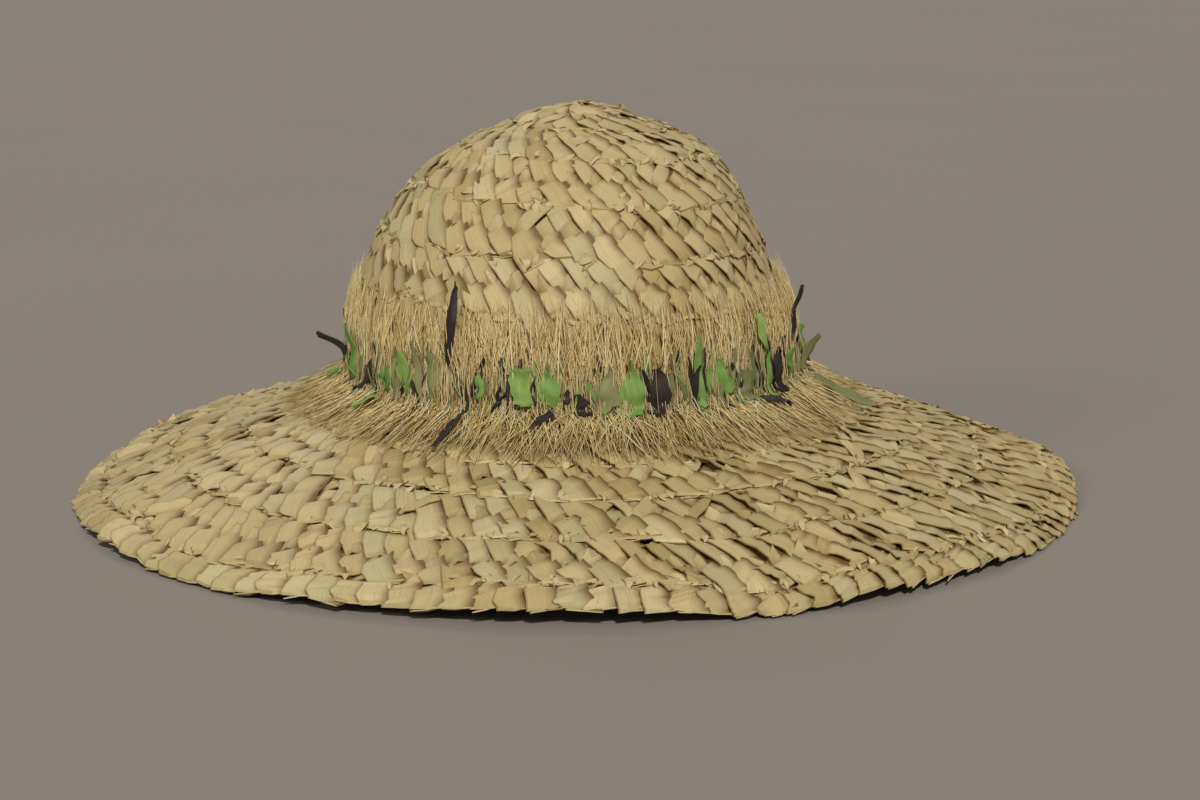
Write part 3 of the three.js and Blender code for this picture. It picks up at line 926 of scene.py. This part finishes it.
# strips of coloured leaf tucked into the fringe
leaves = {
    # tint, azimuth of the middle, heights of the ends, width, slant, curl of the upper and the lower end
    "front": [
        ("green", -177, 50, 34, 7, -3, 1, 3), ("dark", -171, 62, 53, 4, 2, 14, 0),
        ("green", -160, 70, 46, 9, 3, 3, 1), ("dark", -151, 58, 40, 6, -8, 1, 1),
        ("green", -145.5, 43, 33, 7, -2, 0, 2), ("green", -141.5, 57, 46, 8, 1, 0, 0),
        ("green", -134, 64, 46, 7, 4, 2, 1), ("olive", -125.5, 68, 47, 7, -1, 1, 0),
        ("dark", -120, 95, 62, 5, 0, 1, 0), ("dark", -117, 57, 29.5, 6, -1, 0, 1),
        ("green", -112.5, 61, 50, 4, 0, 0, 0), ("dark", -107.5, 54, 44, 5, -4, 0, 1),
        ("green", -101.5, 64, 47, 13, 2, 1, 2), ("dark", -97.5, 44.5, 34, 10, -3, 0, 1),
        ("green", -95.5, 62, 48, 9, 0, 1, 0), ("dark", -92, 55, 46, 4, 0, 0, 0),
        ("dark", -88.5, 54, 42, 8, 0, 1, 1), ("olive", -82, 61, 45, 10, 0, 0, 1),
        ("green", -76.5, 62, 39, 12, 0, 1, 1), ("dark", -70, 63, 39, 10, 0, 1, 1),
        ("green", -58.3, 75, 43, 8, 0, 1, 1), ("green", -51.5, 64, 49, 8, 1, 0, 0),
        ("olive", -44.5, 58, 42, 9, 1, 1, 1), ("dark", -38, 42, 34, 10, 3, 0, 1),
        ("green", -36, 79, 61, 7, 3, 2, 0), ("dark", -31, 62, 40, 10, 0, 2, 1),
        ("green", -23, 61, 47, 8, 3, 4, 1), ("dark", -17, 84, 66, 5, -6, 8, 1),
        ("olive", -11, 61, 46, 6, -3, 10, 1), ("olive", -10, 37, 27.5, 7, 2, 1, 2),
    ],
    # behind the hat the same kinds follow in turn, evenly spaced
    "back": [
        ("green", 63, 46, 8, 1, 2, 1), ("dark", 57, 36, 6, -2, 0, 2), ("olive", 70, 49, 6, 2, 2, 0),
        ("green", 55, 31, 7, -3, 0, 2), ("dark", 80, 50, 5, 1, 4, 0),
    ],
    "backCount": 16,
    "backStart": 1,
    "backSpacing": 10.7,
    "wall": 0.4,
    "over": 1.3,  # stands this far over the fibres
    # waves of the outline, the place and the height: turns along and across, which phase, and size
    "torn": [(9, 3, 1, 0.14), (21, 8, 3, 0.08)],
    "sway": [(4, 0, 0, 0.6), (9, 0, 1, 0.25)],
    "ripple": [(11, 0, 2, 0.35), (7, 9, 3, 0.3)],
    "upperEnd": (0.05, 0.15),  # shares of the length over which the ends narrow
    "lowerEnd": (0.05, 0.3),
    "endWidth": 0.45,
    "width": (0.7, 0.92),  # share of the stated width
    "cut": 0.35,  # spread of the slant of the ends
    "cup": (0, 1.2),  # mm
    "fold": (0, 0.2),  # share of the width
    "turn": 0.2,  # spread in radians, and how much it grows along the leaf
    "twist": 0.6,
}

leafLook = {
    "grain": (1.2, 14.0),
    "blotch": (2.0, 1.2),
    "mottle": (0.6, 0.6, 0.4),  # shares of grain, blotch and tone
    "roughness": (0.45, 0.2),
    "bump": (0.5, 0.5),
    "specular": 0.3,
}

# each leaf's darker and lighter colour
leafColours = {
    "green": ((0.12, 0.29, 0.06, 1), (0.30, 0.46, 0.13, 1)),
    "olive": ((0.15, 0.17, 0.07, 1), (0.28, 0.29, 0.13, 1)),
    "dark": ((0.018, 0.012, 0.015, 1), (0.052, 0.046, 0.042, 1)),
}


def leafMaterial(tint):
    material, wire, shader = newMaterial(tint + "Leaf")
    grain, tone = leafGrain(wire, leafLook["grain"])
    blotch, _ = leafGrain(wire, leafLook["blotch"], 2.0)
    ofGrain, ofBlotch, ofTone = leafLook["mottle"]
    mottle = grain * ofGrain + blotch * ofBlotch + tone * ofTone
    linkTo(wire, shader, Base_Color=mottle.ranged(0.5, 1.0).mixed(*leafColours[tint]),
           Roughness=grainRoughness(grain, leafLook), Normal=grainBump(wire, grain, leafLook))
    shader.inputs["Specular IOR Level"].default_value = leafLook["specular"]
    return material


def makeLeaves(materials):
    rows = list(leaves["front"])
    for i in range(leaves["backCount"]):
        tint, *sizes = leaves["back"][i % len(leaves["back"])]
        rows.append((tint, leaves["backStart"] + leaves["backSpacing"] * i, *sizes))
    pattern, share, side = gridBlade("leafPattern", 16, 4)

    def waved(name, phase):
        return sum(size * np.sin(share * along + side * across + phase[k])
                   for along, across, k, size in leaves[name])

    for i, (tint, azimuth, top, bottom, width, slant, topCurl, bottomCurl) in enumerate(rows):
        upper, lower = arcAtHeight([top, bottom])
        arc = upper + share * (lower - upper)
        radius = radiusAt(arc)
        phase = rng.uniform(0, 6.3, 4)
        ends = share / rng.uniform(*leaves["upperEnd"]), (1 - share) / rng.uniform(*leaves["lowerEnd"])
        fullness = np.clip(np.minimum(*ends), leaves["endWidth"], 1) * (1 + waved("torn", phase))
        sideways = side * width * fullness * rng.uniform(*leaves["width"])
        arc = arc + side * width * rng.normal(0, leaves["cut"]) * mm
        cup = rng.uniform(*leaves["cup"]) * (1 - 4 * side ** 2)
        fold = rng.uniform(*leaves["fold"]) * (1 - 2 * np.abs(side)) * width
        turn = rng.normal(0, leaves["turn"]) + rng.normal(0, leaves["twist"]) * (share - 0.5)
        curl = topCurl * (1 - share) ** 2 + bottomCurl * share ** 2
        stand = leaves["over"] + curl + waved("ripple", phase) + cup + fold + sideways * np.sin(turn)
        place = np.radians(azimuth + slant * (share - 0.5))
        place = place + (waved("sway", phase) + sideways * np.cos(turn)) * mm / radius
        places = facePoint(arc, place, fringeDepth(arc) + stand * mm)[None]
        piece = copiesOf(pattern, f"leafStrip{i + 1:02d}", places, np.array([rng.random()]))
        giveWall(piece, leaves["wall"])
        finishPiece(piece, materials[tint], "leaf_" + tint, f"leaf_strip_{tint}_{i + 1:02d}")
    bpy.data.objects.remove(pattern)
    print("leaf strips", len(rows))


# narrow shreds of the same leaves between the strands
shreds = {
    "counts": {"dark": 170, "green": 90, "olive": 150},
    "length": (9, 26),  # mm
    "width": (0.8, 3.2),
    "middle": (43, 60),  # heights of their middles
    "slant": (-0.35, 0.35),  # mm sideways for each mm along
    "bow": (-1.2, 1.2),  # mm
    "turn": (-0.9, 0.9),  # radians, and how much it grows along the shred
    "twist": (-0.8, 0.8),
    "over": (0.2, 2.2),  # stands this far over the fibres
    "curl": (0, 5),  # mm that the upper end of a few curls outwards
    "wall": 0.3,
}


def makeShreds(tint, material):
    pattern, share, side = gridBlade("shredPattern", 8, 1)
    count = shreds["counts"][tint]

    def each(low, high):
        return rng.uniform(low, high, (count, 1))

    def anyOf(name):
        return each(*shreds[name])

    length, width = anyOf("length"), anyOf("width")
    arc = arcAtHeight(anyOf("middle")) + (share - 0.5) * length * mm
    radius = radiusAt(arc)
    slant, bow, phase = anyOf("slant"), anyOf("bow"), each(0, 6.3)
    narrow = np.clip(4 * share * (1 - share), 0.15, 1) ** 0.6  # towards both ends
    turn = anyOf("turn") + anyOf("twist") * share
    sideways = (share - 0.5) * length * slant + bow * np.sin(share * 5 + phase)
    place = each(0, 2 * math.pi) + (sideways + side * width * narrow * np.cos(turn)) * mm / radius
    curl = anyOf("over") + anyOf("curl") * each(0, 1) ** 4 * (1 - share) ** 2
    standOff = fringeDepth(arc) + (curl + side * width * narrow * np.sin(turn)) * mm
    piece = copiesOf(pattern, tint + "Shreds", facePoint(arc, place, standOff), rng.random(count))
    giveWall(piece, shreds["wall"])
    finishPiece(piece, material, "leaf_" + tint)
    bpy.data.objects.remove(pattern)
    print(tint + "Shreds", count)


straw = strawMaterial()
makeBraid(straw)
makeSlivers(straw)
fibre = fibreMaterial()
makeFringe("fringeInner", (0, 0.6), fibre, "fringe_band")
makeFringe("fringeOuter", (0.45, 1), fibre)
makeFringe("fringeStrays", (0.95, 1.3), fibre, stray=1)
twineLook = twineMaterial()
makeTwine("upperTwine", fringe["ties"][0], "tie_thread_upper", twineLook)
makeTwine("lowerTwine", fringe["ties"][1], "tie_thread_lower", twineLook)
leafTints = {tint: leafMaterial(tint) for tint in leafColours}
makeLeaves(leafTints)
for tint in shreds["counts"]:
    makeShreds(tint, leafTints[tint])
print("hat done")

# floor, light and camera
stage = {
    "floorColour": (0.342, 0.318, 0.298, 1),
    "floorShade": (0.323, 0.301, 0.281, 1),
    "floorSize": 40,
    "cloudScale": 2.5,
    "roughness": 0.9,
    "roomColour": (0.87, 0.82, 0.75, 1),
    "roomStrength": 0.2,
}

# even lights from far away: where each comes from, strength, width in degrees and colour
lights = {
    "key": ((0.2, -1.85, 1.6), 2.06, 5, (1, 0.93, 0.82)),
    "fill": ((-1.7, -1.3, 1.1), 0.32, 14, (1, 0.94, 0.84)),
    "back": ((-0.3, 1.8, 1.5), 0.3, 20, (1, 0.95, 0.9)),
}

camera = {
    "distance": 1.156,  # from the middle of the rim's mean line
    "elevation": 13.52,  # degrees
    "lens": 76.1,
    "sensor": 36,
    "pitch": 12.084,
    "yaw": 0.542,
}


def makeFloor():
    deselectAll()
    bpy.ops.mesh.primitive_plane_add(size=stage["floorSize"], location=(0, 0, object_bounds()[0][2]))
    floor = bpy.context.object
    floor.name = "floor"
    material, wire, shader = newMaterial("palePaper")
    cloud = wire.node("ShaderNodeTexCoord", output="Object").noise(stage["cloudScale"], 2.0)
    linkTo(wire, shader, Base_Color=cloud.mixed(stage["floorColour"], stage["floorShade"]))
    shader.inputs["Roughness"].default_value = stage["roughness"]
    floor.data.materials.append(material)


def sunLight(name, source, strength, spread, colour):
    light = bpy.data.lights.new(name, "SUN")
    light.energy = strength
    light.angle = math.radians(spread)
    light.color = colour
    lamp = bpy.data.objects.new(name, light)
    lamp.location = source
    lamp.rotation_euler = (-Vector(source)).to_track_quat("-Z", "Y").to_euler()
    bpy.context.collection.objects.link(lamp)


def softRoom():
    world = bpy.data.worlds.new("softRoom")
    world.use_nodes = True
    background = world.node_tree.nodes["Background"]
    background.inputs[0].default_value = stage["roomColour"]
    background.inputs[1].default_value = stage["roomStrength"]
    bpy.context.scene.world = world


def makeCamera():
    data = bpy.data.cameras.new("camera")
    data.lens = camera["lens"]
    data.sensor_width = camera["sensor"]
    view = bpy.data.objects.new("camera", data)
    rise = math.radians(camera["elevation"])
    away, up = camera["distance"] * math.cos(rise), camera["distance"] * math.sin(rise)
    view.location = (0, -away, up + hatFace["rimDrop"] * mm)
    view.rotation_euler = (math.radians(90 - camera["pitch"]), 0, -math.radians(camera["yaw"]))
    bpy.context.collection.objects.link(view)
    bpy.context.scene.camera = view


makeFloor()
for name, light in lights.items():
    sunLight(name, *light)
softRoom()
bpy.context.scene.view_settings.view_transform = "Standard"
makeCamera()
print("stage done")
